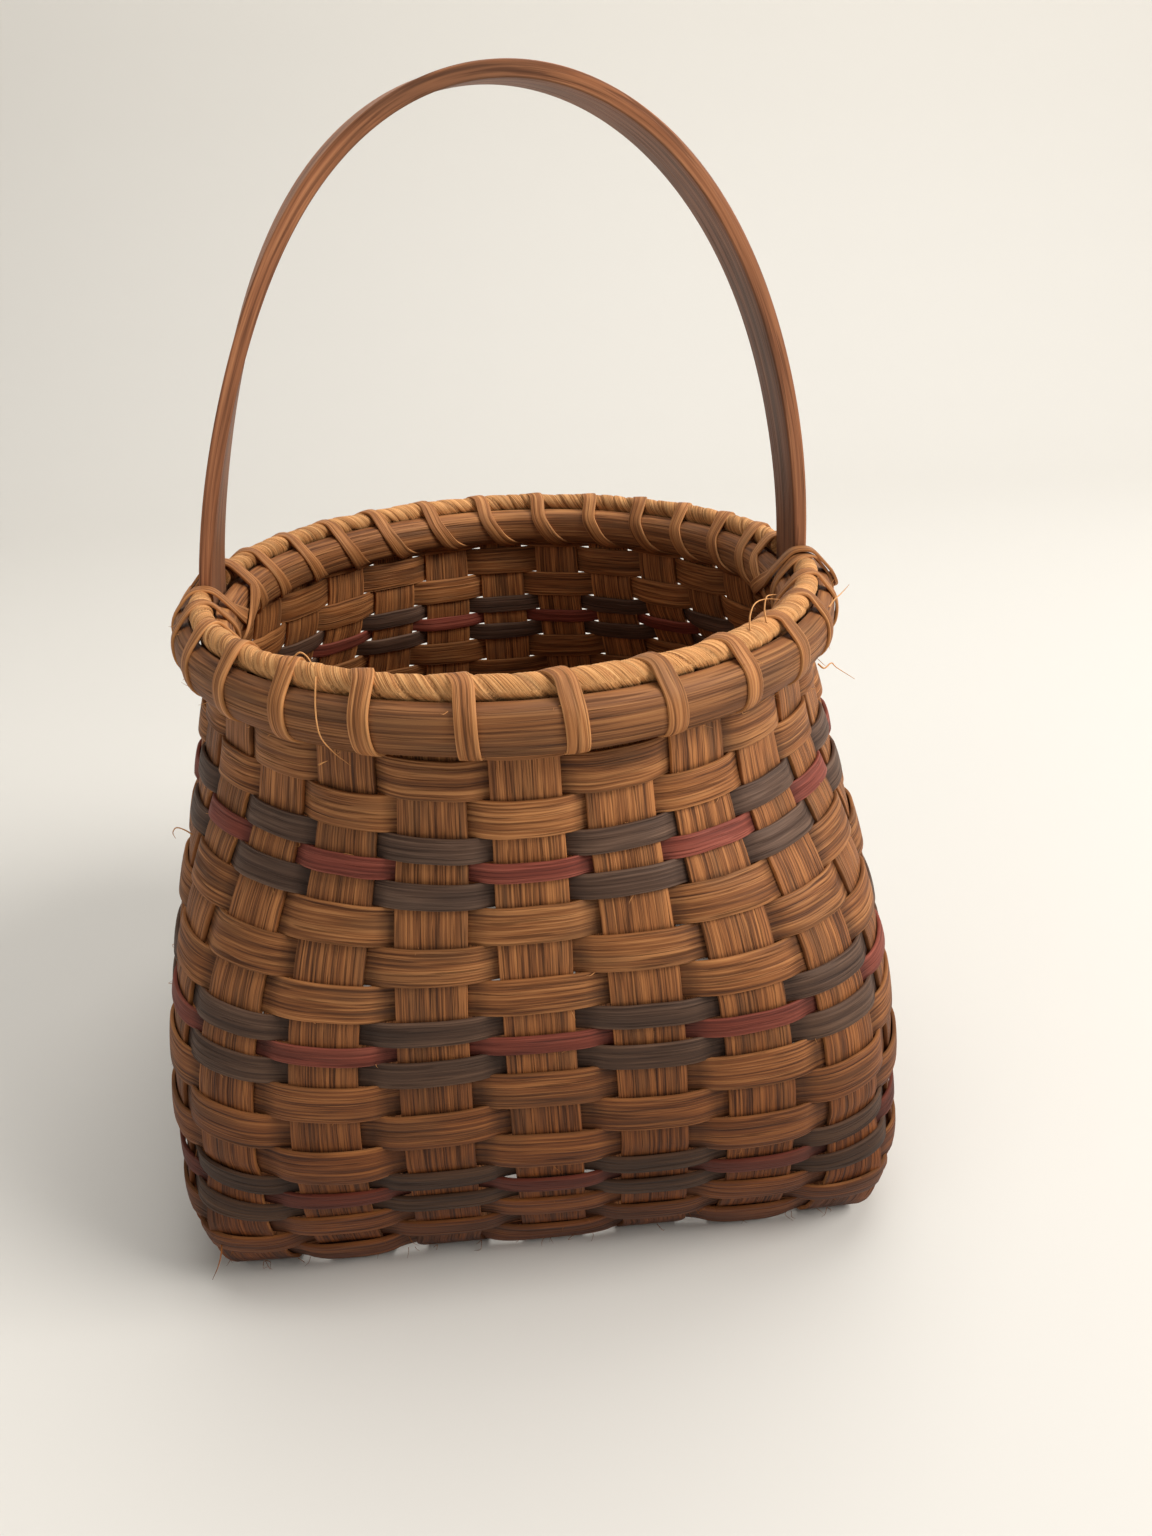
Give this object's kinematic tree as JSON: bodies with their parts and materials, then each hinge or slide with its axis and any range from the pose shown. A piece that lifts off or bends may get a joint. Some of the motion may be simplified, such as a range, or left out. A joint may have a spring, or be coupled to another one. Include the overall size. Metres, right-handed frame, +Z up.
{
  "type": "oak splint basket",
  "caption": "Woven oak splint basket with a soft square base, an oval lashed rim, bands of grey and red splint, and a fixed bent hoop handle across the mouth.",
  "frame": {"origin": "under the middle of the base, on the surface the basket stands on", "axes": "+Z up; the handle crosses the mouth along X; the front of the basket looks along -Y"},
  "size_m": [0.1914, 0.2088, 0.2758],
  "materials": {
    "tan_splint": "bare weathered oak splint, warm tan, strong lengthwise grain",
    "grey_splint": "oak splint dyed smoky grey brown, worn lighter along its edges",
    "red_splint": "oak splint dyed muted brick red, worn lighter along its edges",
    "rim_wood": "half-round rim wood, light tan, fine grain, low sheen",
    "filler_rope": "twisted plant-fibre rope, dry, fuzzy",
    "lashing_splint": "thin flat lashing splint, light tan, matt",
    "handle_wood": "smooth bent oak, red brown, low satin sheen from handling"
  },
  "bodies": {
    "root": {"stake_front_back_1": "tan_splint", "stake_left_right_1": "tan_splint", "stake_front_back_2": "tan_splint", "stake_left_right_2": "tan_splint", "stake_front_back_3": "tan_splint", "stake_left_right_3": "tan_splint", "stake_front_back_4": "tan_splint", "stake_left_right_4": "tan_splint", "stake_front_back_5": "tan_splint", "stake_left_right_5": "tan_splint", "stake_front_back_6": "tan_splint", "stake_left_right_6": "tan_splint", "stake_front_back_7": "tan_splint", "stake_left_right_7": "tan_splint", "weaver_01": "tan_splint", "weaver_02": "tan_splint", "weaver_03": "tan_splint", "weaver_04": "grey_splint", "weaver_05": "red_splint", "weaver_06": "grey_splint", "weaver_07": "tan_splint", "weaver_08": "tan_splint", "weaver_09": "tan_splint", "weaver_10": "grey_splint", "weaver_11": "red_splint", "weaver_12": "grey_splint", "weaver_13": "tan_splint", "weaver_14": "tan_splint", "weaver_15": "tan_splint", "weaver_16": "grey_splint", "weaver_17": "red_splint", "weaver_18": "grey_splint", "weaver_19": "tan_splint", "weaver_20": "tan_splint", "weaver_21": "tan_splint", "rim_outer": "rim_wood", "rim_inner": "rim_wood", "rim_filler_back": "filler_rope", "rim_filler_front": "filler_rope", "rim_lashing": "lashing_splint", "handle_cross_tie_right": "lashing_splint", "handle_cross_tie_left": "lashing_splint", "handle_hoop": "handle_wood"}
  },
  "joints": []
}
